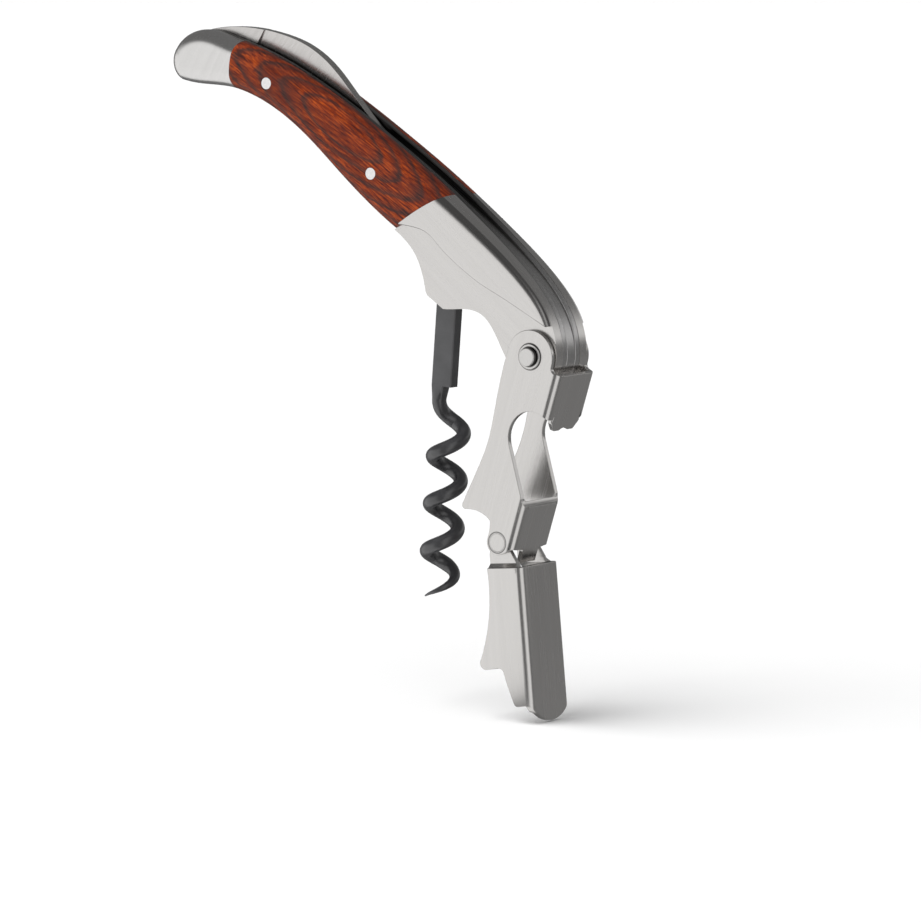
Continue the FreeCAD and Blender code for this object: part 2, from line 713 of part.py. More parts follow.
def foot_outline():
    """The foot seen from the side: ear, lip notch, tooth, second step and web."""
    ear = size("ear_radius")
    outline = Outline(9, -4.7).line((3.6, -4.7), (3.0, -3.5), (ear * 0.8, -ear * 0.6))
    outline.arc((0, ear), (-ear, 0))
    outline.line((-2.75, -2.2), (-2.75, -4.8))
    outline.curve((-2.7, -9.6), (-3.2, -13.8), (-4.3, -18.0), (-5.75, -21.6))
    outline.arc((-5.9, -22.9), (-4.9, -23.6)).line((-2.0, -23.35))
    outline.arc((-1.2, -23.6), (-0.8, -24.3)).curve((0.0, -27.2), (0.95, -29.9))
    outline.arc((1.3, -30.35), (1.9, -30.5)).line((3.7, -30.35), (3.7, -36), (9, -36))
    return outline.close()


def make_foot_lever():
    body = new_body("foot_lever")
    web_top, web, half, sheet = (size("foot_web_top"), size("foot_web"), size("foot_half"),
                                 size("foot_sheet"))
    channel(body, "foot_lever", -7.0, web_top, -36.0, "foot_web", "foot_half", "foot_sheet")
    keep_inside(body, "foot_lever_trim", foot_outline(), cell("foot_half"))
    # the web's end is one round sweep from plate to plate
    plate_end, round_end = size("foot_plate_end"), size("foot_round_end")
    below = Outline(-8, plate_end + 1.0).line((-half, plate_end))
    below.arc((0, round_end), (half, plate_end)).line((8, plate_end + 1.0), (8, -40), (-8, -40)).close()
    profile = sketch(body, "foot_lever_end_outline", "YZ_Plane", ("0", "0", "-1"), below)
    feature(body, "Pocket", "foot_lever_round_end", profile, "12", reverse=True)
    DOC.recompute()
    # ears, set inwards by a joggle so that they sit inside the upper lever's plates
    ear_outer = size("lever_half") - size("lever_sheet") - size("side_gap")
    ear_inner = ear_outer - sheet
    top, drop = size("joggle_top"), size("joggle_drop")
    strips = []
    for side in (-1, 1):
        points = [(ear_outer, 4.0), (ear_outer, top), (half, top - drop), (half, top - drop - 0.6),
                  (half - sheet, top - drop - 0.6), (ear_inner, top - 0.6), (ear_inner, 4.0)]
        strips.append(polygon(*[(side * across, height) for across, height in points]))
    ears = sketch(body, "foot_lever_ear_section", "YZ_Plane", ("0", "0", "-7"), *strips)
    feature(body, "Pad", "foot_lever_ears", ears, f"{cell('foot_web')} - 1.6 + 7")
    ear_shape = side_sketch(body, "foot_lever_ear_outline", "0", ear_frame(), foot_outline())
    feature(body, "Pocket", "foot_lever_ear_trim", ear_shape, "30", middle=True)
    DOC.recompute()
    bore = f"{cell('foot_rivet_radius')} + {cell('running_gap')}"
    drill(body, "foot_lever_bore", LEVER_CENTRE, bore, "-7", "7")
    place(body, "foot_lever", "foot")


def ear_frame():
    """A frame well outside the foot, for trimming its ears to the side outline."""
    return polygon((-20, -60), (20, -60), (20, 20), (-20, 20))


make_upper_lever()
for side_name, side_sign in SIDES.items():
    make_eyelet(side_name, side_sign)
    make_foot_rivet(side_name, side_sign)
make_foot_lever()


# ---------------------------------------------------------------- worm

def worm_turn(depth):
    """How far the wire has turned, in turns, at a depth below the start of the helix."""
    ramp, pitch = size("helix_ramp"), size("helix_pitch")
    if depth < ramp:
        return depth * depth / (2 * ramp * pitch)
    return (depth - ramp / 2) / pitch


def worm_point(depth, start):
    """A point on the wire's centre line; it goes down the left side and passes behind first."""
    angle = math.pi - 2 * math.pi * worm_turn(depth)
    radius = size("helix_radius")
    return Vector(size("helix_offset") + radius * math.cos(angle), radius * math.sin(angle),
                  start - depth)


def swept(path, first, last, winds):
    """A round wire swept along a path, from one radius to another."""
    shell = Part.BRepOffsetAPI.MakePipeShell(Part.Wire(path))
    shell.setFrenetMode(winds)
    for parameter, radius in ((path.FirstParameter, first), (path.LastParameter, last)):
        circle = Part.Circle(path.valueAt(parameter), path.tangentAt(parameter), radius)
        shell.add(Part.Wire(circle.toShape()))
    shell.build()
    shell.makeSolid()
    return shell.shape()


def winding(start, above, below):
    """The helical centre line between two depths, from the lower one up."""
    helix = Part.makeHelix(size("helix_pitch"), below - above, size("helix_radius"))
    turned = math.degrees(math.pi - 2 * math.pi * worm_turn(below))
    spin = FreeCAD.Rotation(Vector(0, 0, 1), turned)
    helix.Placement = FreeCAD.Placement(Vector(size("helix_offset"), 0, start - below), spin)
    return helix.Edges[0]


def make_worm():
    """A flat shank with bevelled edges, a shoulder, and a round wire wound into a helix."""
    width, thick, bevel = size("shank_width"), size("shank_thick"), size("shank_bevel")
    shoulder, wire = size("shoulder_depth"), size("wire_radius")
    half = width / 2
    eye = Part.makeCylinder(half, thick, Vector(0, -thick / 2, 0), Vector(0, 1, 0))
    shank = Part.makeBox(width, thick, shoulder, Vector(-half, -thick / 2, -shoulder))
    long_edges = [edge for edge in shank.Edges if abs(edge.tangentAt(0).z) > 0.9]
    shank = shank.makeChamfer(bevel, long_edges).fuse(eye).removeSplitter()
    bore_radius = size("worm_pin_radius") + size("running_gap")
    bore = Part.makeCylinder(bore_radius, thick + 2, Vector(0, -thick / 2 - 1, 0), Vector(0, 1, 0))
    # the neck: from the shank's left half to a round wire
    centre = size("helix_offset") - size("helix_radius")
    neck_end = -shoulder - size("wire_neck")
    left, right, deep = -half, centre + wire + 0.15, thick / 2
    ring = [(left, -deep + bevel), (left + bevel, -deep), (right - bevel, -deep), (right, -deep + bevel),
            (right, deep - bevel), (right - bevel, deep), (left + bevel, deep), (left, deep - bevel)]
    square = Part.makePolygon([Vector(x, y, -shoulder) for x, y in ring + ring[:1]])
    circle = Part.Wire(Part.Circle(Vector(centre, 0, neck_end), Vector(0, 0, 1), wire).toShape())
    neck = Part.makeLoft([square, circle], True, False)
    # the wire
    start = neck_end
    length = size("worm_depth") - shoulder - size("wire_neck")
    ramp, tip = size("helix_ramp"), length - size("point_length")
    joint = winding(start, ramp, tip)
    coil = swept(joint, wire, wire, True)
    point = swept(winding(start, tip, length), size("point_radius"), wire, True)
    joint_tangent = joint.tangentAt(joint.LastParameter) * -1
    lead_path = Part.BSplineCurve()
    lead_path.interpolate(Points=[worm_point(ramp * index / 6, start) for index in range(7)],
                          InitialTangent=Vector(0, 0, -1), FinalTangent=joint_tangent)
    lead = swept(lead_path.toShape(), wire, wire, False)
    solid = shank.cut(bore).fuse([neck, lead, coil, point]).removeSplitter()
    piece = DOC.addObject("Part::Feature", "worm")
    piece.Shape = solid
    place(piece, "worm", "worm")


make_worm()


# ---------------------------------------------------------------- knife

def make_knife():
    """A curved foil blade: a full-thickness tang, a plunge line, and a tapered grind."""
    pivot_x, pivot_z = size("knife_pivot_x"), size("knife_pivot_z")
    tang = 3.5
    outline = Outline(pivot_x, pivot_z - tang)
    outline.arc((pivot_x - tang * 0.71, pivot_z - tang * 0.71), (pivot_x - tang, pivot_z))
    outline.curve((-98.3, 6.4), (-97.3, 8.4))
    outline.curve((-94.6, 10.6), (-89.2, 13.9), (-83.0, 16.5), (-77.0, 18.05), (-70.5, 18.15),
                  (-64.6, 16.9), (-58.5, 15.2), (-53.4, 14.1))
    outline.curve((-58.5, 12.0), (-66.0, 10.6), (-75.0, 10.2), (-87.2, 10.3))
    outline.curve((-89.6, 7.6), (-91.3, 3.4), (-92.8, 1.2), (pivot_x, pivot_z - tang))
    body = new_body("knife_blade")
    profile = side_sketch(body, "knife_blade_outline", "0", outline)
    feature(body, "Pad", "knife_blade_pad", profile, f"2 * {cell('tang_half')}", middle=True)
    spine, edge = size("spine_half"), size("edge_half")
    for name, side in SIDES.items():
        wedge = polygon((side * spine, 19.5), (side * edge, 9.7), (side * 4, 9.7), (side * 4, 19.5))
        cut = sketch(body, f"knife_blade_{name}_wedge", "YZ_Plane", ("0", "0", cell("plunge_x")), wedge)
        DOC.recompute()
        before = body.Shape.Volume
        grind = feature(body, "Pocket", f"knife_blade_{name}_grind", cut, "40", reverse=True)
        DOC.recompute()
        if body.Shape.Volume > before - 1:
            grind.Reversed = False
            DOC.recompute()
        if body.Shape.Volume > before - 1:
            raise RuntimeError("the blade's grind cuts nothing")
    radius = f"{cell('knife_pin_radius')} + {cell('running_gap')}"
    drill(body, "knife_blade_bore", KNIFE_CENTRE, radius, "-2", "2")
    place(body, "knife_blade", "handle")


make_knife()

# ---------------------------------------------------------------- checks and export

DOC.recompute()
for item in DOC.Objects:
    if "Invalid" in item.State or "Error" in item.State:
        raise RuntimeError(f"{item.Label} failed: {item.State}")
for node in NODES:
    shape = node.Shape
    if shape.isNull() or not shape.isValid() or shape.Volume <= 0:
        raise RuntimeError(f"{node.Label} has no sound shape")

os.makedirs("parts", exist_ok=True)
for node in NODES:
    node.Shape.exportStep(os.path.join("parts", f"{node.Label}.step"))
    box = node.Shape.BoundBox
    print(f"{node.Label:24s} solids {len(node.Shape.Solids)}  volume {node.Shape.Volume:8.1f}  "
          f"Z {box.ZMin:6.1f} to {box.ZMax:6.1f}")
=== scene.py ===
"""The looks of a waiter's corkscrew: brushed plates, dark wood scales, a black worm, a foil knife."""
import math

import bmesh
import bpy
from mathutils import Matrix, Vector


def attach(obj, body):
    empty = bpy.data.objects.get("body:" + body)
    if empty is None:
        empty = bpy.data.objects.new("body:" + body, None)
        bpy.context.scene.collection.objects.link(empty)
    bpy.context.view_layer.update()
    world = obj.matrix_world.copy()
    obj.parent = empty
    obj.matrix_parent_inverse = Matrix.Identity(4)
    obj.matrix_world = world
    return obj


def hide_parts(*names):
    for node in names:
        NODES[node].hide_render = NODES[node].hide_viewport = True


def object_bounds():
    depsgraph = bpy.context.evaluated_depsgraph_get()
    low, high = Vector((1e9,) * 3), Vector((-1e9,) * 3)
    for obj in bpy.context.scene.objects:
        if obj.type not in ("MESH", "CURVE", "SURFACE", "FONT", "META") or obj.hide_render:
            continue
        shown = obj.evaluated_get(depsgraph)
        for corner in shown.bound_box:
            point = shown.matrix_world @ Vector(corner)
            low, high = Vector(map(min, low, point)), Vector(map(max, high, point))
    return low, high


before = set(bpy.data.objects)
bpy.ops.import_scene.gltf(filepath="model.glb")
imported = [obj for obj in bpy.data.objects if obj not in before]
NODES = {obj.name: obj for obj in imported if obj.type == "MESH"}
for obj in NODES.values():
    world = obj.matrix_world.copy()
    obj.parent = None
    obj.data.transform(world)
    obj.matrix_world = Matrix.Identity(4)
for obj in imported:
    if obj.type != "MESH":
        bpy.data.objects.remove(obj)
CAD_BOX = [list(corner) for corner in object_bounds()]
MM = 0.001
# how far each group is turned about Y, in degrees, and where its pivots are, in metres
HANDLE_TILT, LEVER_TILT, FOOT_TILT = 32.0, 17.5, -5.5
BRUSH_TILT = HANDLE_TILT + 8
LEVER_PIVOT = (0.012318, 0.0, 0.029092)
FOOT_PIVOT = (0.005041, 0.0, -0.005626)
ORIGIN = (0, 0, 0)
# painted contact-shadow lines round the eyelet and the foot rivets: their radii in mm
EYELET_SHADOW_LINE, RIVET_SHADOW_LINE = 2.45, 1.95
# the step across a bolster, from its recess to its raised face, in mm from the middle; painted shade darkens
# this band, for the crown's dark falloff and the shadow at the recess's foot
BOLSTER_STEP = (5.1, 5.99)
# the colour of all painted shade: shadow lines round the rivets, the bolster step, the pivot's groove and rim
PAINTED_SHADE = (0.05, 0.048, 0.047)
# how wide the polished edges are, in metres
SHEET_EDGE, LINER_EDGE, BLADE_EDGE = 0.00012, 0.00018, 0.00010
# a bump's height for brushing and for fine marks, in metres
FINE_RELIEF, PORE_RELIEF = 0.00004, 0.00005
# the wood's oval rings: their middle, stretch, spacing and the scale's outer face, in mm
RING_MIDDLE, RING_STRETCH, RING_SPACING, SCALE_FACE = (-58.3, 11.7), 3.35, 1.75, 6.0


# ---------------------------------------------------------------- camera, floor and light

CAMERA_PLACE, CAMERA_LOOKS, LENS = (0.45488, -0.63630, 0.09843), (-0.5840, 0.8037, -0.1141), 165.9
FLOOR_RADIUS, FLOOR_GAP = 40.0, 0.0002
SUN_SHINES = (0.35, 0.40, -0.85)


def make_camera():
    data = bpy.data.cameras.new("camera")
    data.sensor_width = 36.0
    data.lens = LENS
    data.clip_start, data.clip_end = 0.01, 20.0
    camera = bpy.data.objects.new("camera", data)
    bpy.context.scene.collection.objects.link(camera)
    camera.location = CAMERA_PLACE
    camera.rotation_mode = "QUATERNION"
    camera.rotation_quaternion = Vector(CAMERA_LOOKS).to_track_quat("-Z", "Y")
    bpy.context.scene.camera = camera


def make_floor():
    """A pale floor under the object's lowest point; mirrored, it is as dark as the studio round it."""
    low = CAD_BOX[0][2] - FLOOR_GAP
    bpy.ops.mesh.primitive_circle_add(vertices=96, radius=FLOOR_RADIUS, fill_type="NGON",
                                      location=(0, 0, low))
    floor = bpy.context.object
    floor.name = "floor"
    made, tool, shader = new_material("floor_white", Roughness=0.8)
    speckle = tool.noise(tool.place(), 0.02, 3.0)
    tool.put(shader.inputs["Base Color"], tool.ramp(speckle, [(0.3, 0.95), (0.7, 0.97)]))
    shader.inputs["Specular IOR Level"].default_value = 0.1
    mirrored = tool.node("ShaderNodeEmission")
    spot = tool.node("ShaderNodeNewGeometry").outputs["Position"]
    flat = tool.node("ShaderNodeVectorMath", operation="NORMALIZE")
    tool.put(flat.inputs[0], spot)
    tool.put(mirrored.inputs["Color"], surround(tool, flat.outputs[0]))
    mix = tool.node("ShaderNodeMixShader")
    tool.put(mix.inputs[0], tool.node("ShaderNodeLightPath").outputs["Is Glossy Ray"])
    tool.put(mix.inputs[1], shader.outputs[0])
    tool.put(mix.inputs[2], mirrored.outputs[0])
    tool.put(made.node_tree.nodes["Material Output"].inputs["Surface"], mix.outputs[0])
    floor.data.materials.append(made)


def make_sun(name, towards, strength, spread):
    data = bpy.data.lights.new(name, "SUN")
    data.energy, data.angle = strength, math.radians(spread)
    light = bpy.data.objects.new(name, data)
    bpy.context.scene.collection.objects.link(light)
    light.rotation_euler = Vector(towards).to_track_quat("-Z", "Y").to_euler()
    light.visible_glossy = False


# studio light as a surround: (azimuth from -Y towards +X, half width, low, high, brightness), in degrees
SOFTBOXES = [(-52, 42, -90, 16, 1.08), (48, 19, -90, 50, 1.0),
             (140, 50, 6, 22, 0.95), (150, 60, -90, 4, 0.24)]
SIDE_BLUR, LOW_BLUR, HIGH_BLUR = 5, 4, 13
GLOOM = 0.18


def surround(tool, direction):
    """How bright the studio is in a direction: dark, with large soft boxes."""
    x, y, z = tool.split(direction)
    azimuth = tool.math("DEGREES", tool.math("ARCTAN2", x, tool.math("MULTIPLY", y, -1.0)))
    elevation = tool.math("DEGREES", tool.math("ARCSINE", z))
    total = GLOOM
    for centre, half, low, high, brightness in SOFTBOXES:
        turn = tool.math("WRAP", tool.math("SUBTRACT", azimuth, float(centre)), 180.0, -180.0)
        away = tool.math("ABSOLUTE", turn)
        box = tool.soft(away, half + SIDE_BLUR, half - SIDE_BLUR)
        box = tool.math("MULTIPLY", box, tool.soft(elevation, low - LOW_BLUR, low + LOW_BLUR))
        box = tool.math("MULTIPLY", box, tool.soft(elevation, high + HIGH_BLUR, high - HIGH_BLUR))
        total = tool.math("MAXIMUM", tool.math("MULTIPLY", box, brightness), total)
    return total


def make_world():
    """Plain white where the camera looks; soft boxes in a dark studio for what lights the object."""
    world = bpy.data.worlds.new("studio")
    bpy.context.scene.world = world
    world.use_nodes = True
    tree = world.node_tree
    tree.nodes.clear()
    tool = Tree(tree)
    lit = tool.node("ShaderNodeBackground")
    tool.put(lit.inputs["Color"], surround(tool, tool.node("ShaderNodeTexCoord").outputs["Generated"]))
    seen = tool.node("ShaderNodeBackground")
    seen.inputs["Color"].default_value = (1, 1, 1, 1)
    mix = tool.node("ShaderNodeMixShader")
    tool.put(mix.inputs[0], tool.node("ShaderNodeLightPath").outputs["Is Camera Ray"])
    tool.put(mix.inputs[1], lit.outputs[0])
    tool.put(mix.inputs[2], seen.outputs[0])
    tool.put(tool.node("ShaderNodeOutputWorld").inputs["Surface"], mix.outputs[0])


# ---------------------------------------------------------------- node helpers

class Tree:
    """Short calls for building a node tree."""

    def __init__(self, tree):
        self.tree = tree

    def node(self, kind, **values):
        made = self.tree.nodes.new(kind)
        for name, value in values.items():
            setattr(made, name, value)
        return made

    def put(self, socket, value):
        if isinstance(value, bpy.types.NodeSocket):
            self.tree.links.new(value, socket)
        elif value is not None:
            socket.default_value = value

    def math(self, operation, a, b=None, c=None):
        made = self.node("ShaderNodeMath", operation=operation)
        for socket, value in zip(made.inputs, (a, b, c)):
            self.put(socket, value)
        return made.outputs[0]

    def place(self, tilt=0.0, origin=ORIGIN, scale=(1, 1, 1)):
        """Object coordinates, moved to an origin, turned back by a tilt about Y, and scaled, in mm."""
        coords = self.node("ShaderNodeTexCoord").outputs["Object"]
        moved = self.node("ShaderNodeVectorMath", operation="SUBTRACT")
        self.put(moved.inputs[0], coords)
        moved.inputs[1].default_value = origin
        turned = self.node("ShaderNodeVectorRotate", rotation_type="Y_AXIS")
        self.put(turned.inputs["Vector"], moved.outputs[0])
        turned.inputs["Angle"].default_value = math.radians(-tilt)
        scaled = self.node("ShaderNodeVectorMath", operation="MULTIPLY")
        self.put(scaled.inputs[0], turned.outputs[0])
        scaled.inputs[1].default_value = [value / MM for value in scale]
        return scaled.outputs[0]

    def soft(self, value, start, end):
        """A smooth step: 0 at start and 1 at end, in either order."""
        made = self.node("ShaderNodeMapRange", interpolation_type="SMOOTHSTEP")
        self.put(made.inputs["Value"], value)
        low, high = min(start, end), max(start, end)
        made.inputs["From Min"].default_value, made.inputs["From Max"].default_value = low, high
        made.inputs["To Min"].default_value = 0.0 if start < end else 1.0
        made.inputs["To Max"].default_value = 1.0 if start < end else 0.0
        return made.outputs[0]

    def noise(self, vector, scale=1.0, detail=2.0, rough=0.5, distortion=0.0):
        made = self.node("ShaderNodeTexNoise")
        self.put(made.inputs["Vector"], vector)
        made.inputs["Scale"].default_value = scale
        made.inputs["Detail"].default_value = detail
        made.inputs["Roughness"].default_value = rough
        made.inputs["Distortion"].default_value = distortion
        return made.outputs["Fac"]

    def ramp(self, value, stops):
        made = self.node("ShaderNodeValToRGB")
        self.put(made.inputs[0], value)
        elements = made.color_ramp.elements
        while len(elements) < len(stops):
            elements.new(0.5)
        for element, (position, colour) in zip(elements, stops):
            element.position = position
            if isinstance(colour, (int, float)):
                colour = (colour,) * 3
            element.color = (*colour, 1)
        return made.outputs["Color"]

    def mix(self, amount, a, b):
        made = self.node("ShaderNodeMix", data_type="RGBA")
        self.put(made.inputs[0], amount)
        for socket, value in ((made.inputs[6], a), (made.inputs[7], b)):
            if isinstance(value, tuple) and len(value) == 3:
                value = (*value, 1)
            self.put(socket, value)
        return made.outputs[2]

    def bump(self, height, strength, distance, under=None):
        made = self.node("ShaderNodeBump")
        made.inputs["Strength"].default_value = strength
        made.inputs["Distance"].default_value = distance
        self.put(made.inputs["Height"], height)
        self.put(made.inputs["Normal"], under)
        return made.outputs[0]

    def split(self, vector):
        made = self.node("ShaderNodeSeparateXYZ")
        self.put(made.inputs[0], vector)
        return made.outputs

    def join(self, x, y, z):
        made = self.node("ShaderNodeCombineXYZ")
        for socket, value in zip(made.inputs, (x, y, z)):
            self.put(socket, value)
        return made.outputs[0]


def new_material(name, **values):
    made = bpy.data.materials.new(name)
    made.use_nodes = True
    tool = Tree(made.node_tree)
    shader = made.node_tree.nodes["Principled BSDF"]
    for key, value in values.items():
        tool.put(shader.inputs[key.replace("_", " ")], value)
    return made, tool, shader


def from_axis(tool, pivot):
    """The distance in mm from an axis along Y through a pivot."""
    x, y, z = tool.split(tool.place(0, pivot))
    square = tool.math("ADD", tool.math("MULTIPLY", x, x), tool.math("MULTIPLY", z, z))
    return tool.math("SQRT", square)


def ring_line(tool, pivot, radius):
    """A thin line of a radius in mm round a pivot's axis."""
    off = tool.math("ABSOLUTE", tool.math("SUBTRACT", from_axis(tool, pivot), radius))
    return tool.soft(off, 0.16, 0.04)


def material_brushed(name, tilt, origin, light, dark, along="x", rings=(), step=None):
    """Stainless steel brushed along one axis of a tilted frame, with painted shadow lines round rivets and
    painted shade on a step.
    """
    made, tool, shader = new_material(name, Metallic=1.0)
    fine = {"x": (0.05, 9.0, 9.0), "z": (9.0, 9.0, 0.05)}[along]
    broad = {"x": (0.03, 1.4, 1.4), "z": (1.4, 1.4, 0.03)}[along]
    lines = tool.noise(tool.place(tilt, origin, fine), 1.0, 3.0, 0.6)
    bands = tool.noise(tool.place(tilt, origin, broad), 1.0, 2.0, 0.5)
    cloud = tool.noise(tool.place(tilt, origin, (0.12, 0.12, 0.12)), 1.0, 2.0, 0.5)
    both = tool.math("MULTIPLY_ADD", bands, 0.45, tool.math("MULTIPLY", lines, 0.55))
    shade = tool.ramp(both, [(0.32, dark), (0.68, light)])
    shade = tool.mix(tool.math("MULTIPLY", cloud, 0.10), shade, tuple(value * 0.8 for value in light))
    # painted shadow lines round each pivot, in the base colour
    for pivot, radius in rings:
        shade = tool.mix(tool.math("MULTIPLY", ring_line(tool, pivot, radius), 0.8), shade, PAINTED_SHADE)
    # painted shade across the bolster step: the crown's dark falloff and the shadow at the recess's foot
    if step:
        height = tool.math("ABSOLUTE", tool.split(tool.place())[1])
        low, high = step
        step_shade = tool.math("MULTIPLY", tool.soft(height, low, low + 0.15), tool.soft(height, high, high - 0.22))
        shade = tool.mix(tool.math("MULTIPLY", step_shade, 0.6), shade, PAINTED_SHADE)
    tool.put(shader.inputs["Base Color"], shade)
    span = tool.node("ShaderNodeMapRange")
    tool.put(span.inputs["Value"], lines)
    span.inputs["From Min"].default_value, span.inputs["From Max"].default_value = 0.3, 0.7
    span.inputs["To Min"].default_value, span.inputs["To Max"].default_value = 0.20, 0.28
    tool.put(shader.inputs["Roughness"], span.outputs[0])
    tool.put(shader.inputs["Normal"], tool.bump(lines, 0.10, FINE_RELIEF))
    return made


def material_bright(name):
    """Turned and polished steel, with faint handling marks."""
    made, tool, shader = new_material(name, Metallic=1.0)
    marks = tool.noise(tool.place(0, ORIGIN, (1.5, 1.5, 1.5)), 1.0, 5.0, 0.65)
    shade = tool.ramp(marks, [(0.3, (0.70, 0.70, 0.70)), (0.7, (0.80, 0.79, 0.78))])
    tool.put(shader.inputs["Base Color"], shade)
    tool.put(shader.inputs["Roughness"], tool.math("MULTIPLY_ADD", marks, 0.14, 0.11))
    tool.put(shader.inputs["Normal"], tool.bump(marks, 0.04, FINE_RELIEF))
    return made


def material_pivot():
    """Turned satin steel round the lever's pivot, with painted shade in the groove between head and eyelet
    and a painted shadow line at the eyelet's outer rim.
    """
    made, tool, shader = new_material("pivot_satin", Metallic=1.0)
    radius = from_axis(tool, LEVER_PIVOT)
    turning = tool.noise(tool.join(tool.math("MULTIPLY", radius, 9.0), 0.0, 0.0), 1.0, 2.0, 0.5)
    marks = tool.noise(tool.place(0, ORIGIN, (1.5, 1.5, 1.5)), 1.0, 5.0, 0.65)
    shade = tool.ramp(marks, [(0.3, (0.60, 0.59, 0.575)), (0.7, (0.66, 0.65, 0.635))])
    # painted shade: dark in the groove between head and eyelet, and a dark line at the eyelet's outer rim
    groove = tool.math("MULTIPLY", tool.soft(radius, 1.60, 1.74), tool.soft(radius, 2.02, 1.86))
    rim_shade = tool.soft(radius, 2.22, 2.36)
    pivot_shade = tool.math("MAXIMUM", tool.math("MULTIPLY", groove, 0.92), tool.math("MULTIPLY", rim_shade, 0.75))
    tool.put(shader.inputs["Base Color"], tool.mix(pivot_shade, shade, PAINTED_SHADE))
    tool.put(shader.inputs["Roughness"], tool.math("MULTIPLY_ADD", marks, 0.16, 0.22))
    tool.put(shader.inputs["Normal"], tool.bump(turning, 0.05, FINE_RELIEF))
    return made


def material_liner():
    """Ground edges of the liners and spring: lighter towards the hinge, much darker along the wood."""
    made, tool, shader = new_material("liner_satin", Metallic=1.0)
    lines = tool.noise(tool.place(HANDLE_TILT, LEVER_PIVOT, (0.05, 9.0, 9.0)), 1.0, 3.0, 0.6)
    x, y, z = tool.split(tool.place(HANDLE_TILT, LEVER_PIVOT))
    hinge_tone = tool.ramp(lines, [(0.32, (0.47, 0.46, 0.455)), (0.68, (0.56, 0.555, 0.55))])
    wood_end_tone = tool.ramp(lines, [(0.32, (0.075, 0.073, 0.072)), (0.68, (0.15, 0.145, 0.142))])
    tool.put(shader.inputs["Base Color"], tool.mix(tool.soft(x, -30.0, -4.0), wood_end_tone, hinge_tone))
    tool.put(shader.inputs["Roughness"], tool.math("MULTIPLY_ADD", lines, 0.12, 0.22))
    tool.put(shader.inputs["Normal"], tool.bump(lines, 0.10, FINE_RELIEF))
    return made


def material_wood():
    """Dyed laminated rosewood: orange red, dark growth rings drawn out along the handle, fine pores."""
    made, tool, shader = new_material("rosewood_satin")
    origin = LEVER_PIVOT
    spot = tool.place(HANDLE_TILT, origin)
    x, y, z = tool.split(spot)
    wander = tool.noise(tool.place(HANDLE_TILT, origin, (0.045, 0.14, 0.16)), 1.0, 2.0, 0.5)
    ripple = tool.noise(tool.place(HANDLE_TILT, origin, (0.28, 0.5, 0.9)), 1.0, 3.0, 0.6)
    # rings: long ovals round a point near the middle of the scale
    middle_x, middle_z = RING_MIDDLE
    length = tool.math("DIVIDE", tool.math("SUBTRACT", x, middle_x), RING_STRETCH)
    height = tool.math("SUBTRACT", z, middle_z)
    depth = tool.math("MULTIPLY", tool.math("ADD", tool.math("ABSOLUTE", y), -SCALE_FACE), 0.55)
    square = tool.math("ADD", tool.math("MULTIPLY", length, length), tool.math("MULTIPLY", height, height))
    heart = tool.soft(square, 4.0, 9.5)
    radius = tool.math("SUBTRACT", tool.math("SQRT", square), depth)
    radius = tool.math("MULTIPLY_ADD", tool.math("SUBTRACT", wander, 0.5), 1.9, radius)
    radius = tool.math("MULTIPLY_ADD", tool.math("SUBTRACT", ripple, 0.5), 0.75, radius)
    wave = tool.math("FRACT", tool.math("DIVIDE", radius, RING_SPACING))
    rings = tool.ramp(wave, [(0.0, 0.0), (0.36, 0.10), (0.62, 0.55), (0.78, 1.0), (0.88, 0.85), (1.0, 0.0)])
    rings = tool.math("MULTIPLY", rings, heart)
    grain = tool.noise(tool.place(HANDLE_TILT, origin, (0.30, 3.2, 4.2)), 1.0, 4.0, 0.65, 0.4)
    fleck = tool.noise(tool.place(HANDLE_TILT + 9, origin, (0.9, 6.5, 7.5)), 1.0, 2.0, 0.6)
    patch = tool.noise(tool.place(HANDLE_TILT, origin, (0.06, 0.2, 0.22)), 1.0, 2.0, 0.5)
    red = tool.ramp(grain, [(0.30, (0.025, 0.005, 0.004)), (0.43, (0.120, 0.014, 0.004)),
                            (0.53, (0.270, 0.036, 0.005)), (0.70, (0.560, 0.100, 0.009))])
    red = tool.mix(tool.ramp(patch, [(0.38, 0.0), (0.62, 0.60)]), red, (0.085, 0.012, 0.006))
    # painted shade: darker along the scale's rounded top edge
    top_edge_shade = tool.soft(tool.math("MULTIPLY_ADD", x, 0.055, z), 10.5, 13.5)
    red = tool.mix(tool.math("MULTIPLY", top_edge_shade, 0.45), red, (0.045, 0.010, 0.008))
    dark = tool.ramp(grain, [(0.3, (0.018, 0.010, 0.010)), (0.75, (0.060, 0.030, 0.026))])
    strength = tool.math("MULTIPLY", rings, tool.ramp(grain, [(0.30, 1.0), (0.78, 0.60)]))
    shade = tool.mix(strength, red, dark)
    pores = tool.ramp(fleck, [(0.56, 0.0), (0.66, 0.75)])
    shade = tool.mix(pores, shade, (0.040, 0.016, 0.014))
    tool.put(shader.inputs["Base Color"], shade)
    tool.put(shader.inputs["Roughness"], tool.math("MULTIPLY_ADD", fleck, 0.22, 0.30))
    shader.inputs["Specular IOR Level"].default_value = 0.16
    shader.inputs["Coat Weight"].default_value = 0.04
    shader.inputs["Coat Roughness"].default_value = 0.20
    relief = tool.math("SUBTRACT", tool.math("MULTIPLY", grain, 0.35), pores)
    tool.put(shader.inputs["Normal"], tool.bump(relief, 0.22, PORE_RELIEF))
    return made


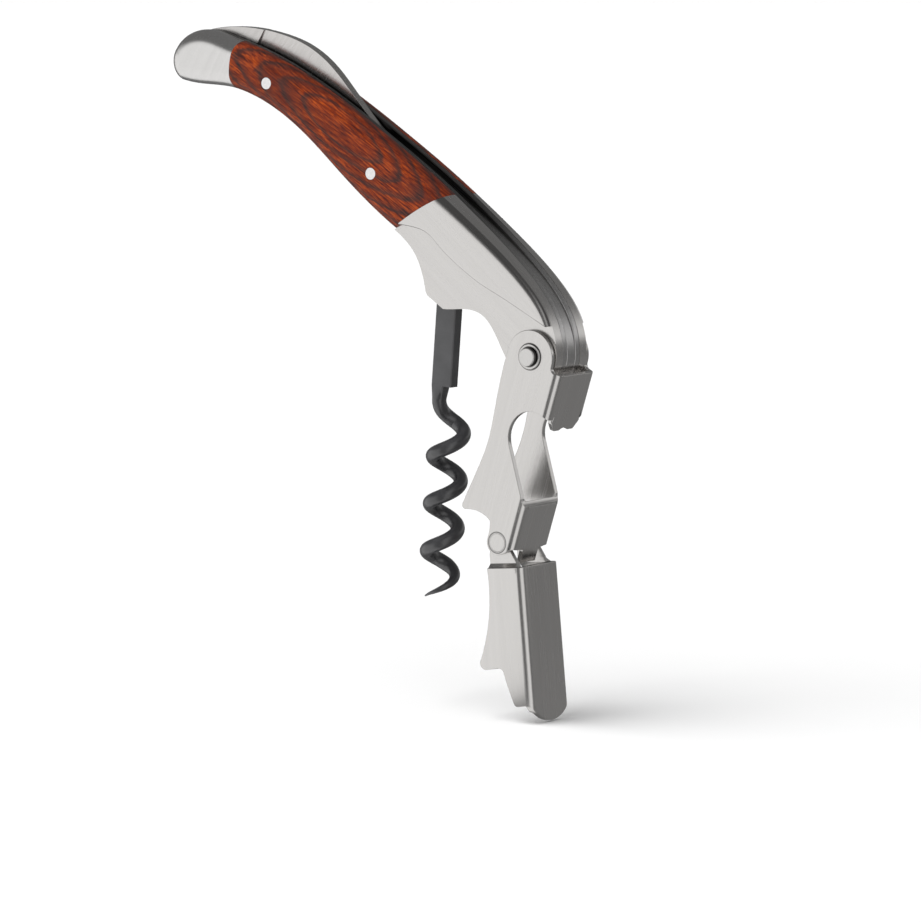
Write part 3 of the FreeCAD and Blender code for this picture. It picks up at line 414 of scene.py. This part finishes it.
def material_black():
    """A baked non-stick coat: near black, satin, with a faint orange-peel."""
    made, tool, shader = new_material("worm_black_coat")
    peel = tool.noise(tool.place(0, ORIGIN, (2.2, 2.2, 2.2)), 1.0, 3.0, 0.5)
    drift = tool.noise(tool.place(0, ORIGIN, (0.25, 0.25, 0.25)), 1.0, 2.0, 0.5)
    shade = tool.ramp(drift, [(0.35, (0.020, 0.020, 0.022)), (0.65, (0.034, 0.034, 0.037))])
    tool.put(shader.inputs["Base Color"], shade)
    tool.put(shader.inputs["Roughness"], tool.math("MULTIPLY_ADD", peel, 0.16, 0.27))
    shader.inputs["Specular IOR Level"].default_value = 0.8
    shader.inputs["Coat Weight"].default_value = 0.35
    shader.inputs["Coat Roughness"].default_value = 0.30
    tool.put(shader.inputs["Normal"], tool.bump(peel, 0.16, FINE_RELIEF))
    return made


def eased(name, width, body, material):
    """A copy of a CAD piece with its sharp edges broken, as tumbling and polishing leave them."""
    source = NODES[name]
    data = source.data.copy()
    mesh = bmesh.new()
    mesh.from_mesh(data)
    bmesh.ops.remove_doubles(mesh, verts=mesh.verts, dist=2e-6)
    bmesh.ops.dissolve_limit(mesh, angle_limit=math.radians(0.6), verts=mesh.verts, edges=mesh.edges)
    for face in mesh.faces:
        face.smooth = True
    mesh.to_mesh(data)
    mesh.free()
    piece = bpy.data.objects.new(f"{name}_eased", data)
    bpy.context.scene.collection.objects.link(piece)
    data.materials.clear()
    data.materials.append(material)
    bevel = piece.modifiers.new("edges", "BEVEL")
    bevel.width, bevel.segments = width, 2
    bevel.limit_method, bevel.angle_limit = "ANGLE", math.radians(35)
    bevel.miter_outer = "MITER_ARC"
    bevel.use_clamp_overlap = False
    flatten = piece.modifiers.new("flat_faces_stay_flat", "WEIGHTED_NORMAL")
    flatten.weight = 100
    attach(piece, body)
    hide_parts(name)


def give(material, *names):
    for name in names:
        data = NODES[name].data
        data.materials.clear()
        data.materials.append(material)


def dress():
    plate, shadow = (0.645, 0.63, 0.615), (0.60, 0.585, 0.57)
    lever = material_brushed("lever_satin", LEVER_TILT, ORIGIN, plate, shadow, along="z",
                             rings=((LEVER_PIVOT, EYELET_SHADOW_LINE), (FOOT_PIVOT, RIVET_SHADOW_LINE)))
    foot = material_brushed("foot_satin", FOOT_TILT, ORIGIN, plate, shadow, along="z")
    bolster = material_brushed("bolster_satin", BRUSH_TILT, LEVER_PIVOT, plate, shadow,
                               step=BOLSTER_STEP)
    cap = material_brushed("cap_satin", HANDLE_TILT, LEVER_PIVOT, (0.69, 0.68, 0.67),
                           (0.635, 0.625, 0.615), along="z")
    liner = material_liner()
    blade = material_brushed("blade_satin", BRUSH_TILT, LEVER_PIVOT, (0.62, 0.60, 0.585),
                             (0.54, 0.525, 0.51), along="z")
    polish = material_bright("pin_polish")
    eased("upper_lever", SHEET_EDGE, "upper_lever", lever)
    eased("foot_lever", SHEET_EDGE, "foot", foot)
    for name in ("left_liner", "right_liner", "back_spring"):
        eased(name, LINER_EDGE, "handle", liner)
    give(bolster, "left_front_bolster", "right_front_bolster")
    give(cap, "left_end_bolster", "right_end_bolster")
    eased("knife_blade", BLADE_EDGE, "knife", blade)
    pivot = material_pivot()
    give(pivot, "left_pivot_eyelet", "right_pivot_eyelet", "lever_pivot_pin")
    give(lever, "left_foot_rivet", "right_foot_rivet")
    give(polish, "worm_pivot_pin", "knife_pivot_pin", "front_scale_pin", "rear_scale_pin",
         "front_bolster_rivets", "end_bolster_rivet")
    give(material_wood(), "left_scale", "right_scale")
    give(material_black(), "worm")


make_camera()
make_floor()
make_world()
make_sun("fill", SUN_SHINES, 3.2, 60)
bpy.context.scene.view_settings.view_transform = "Standard"
dress()
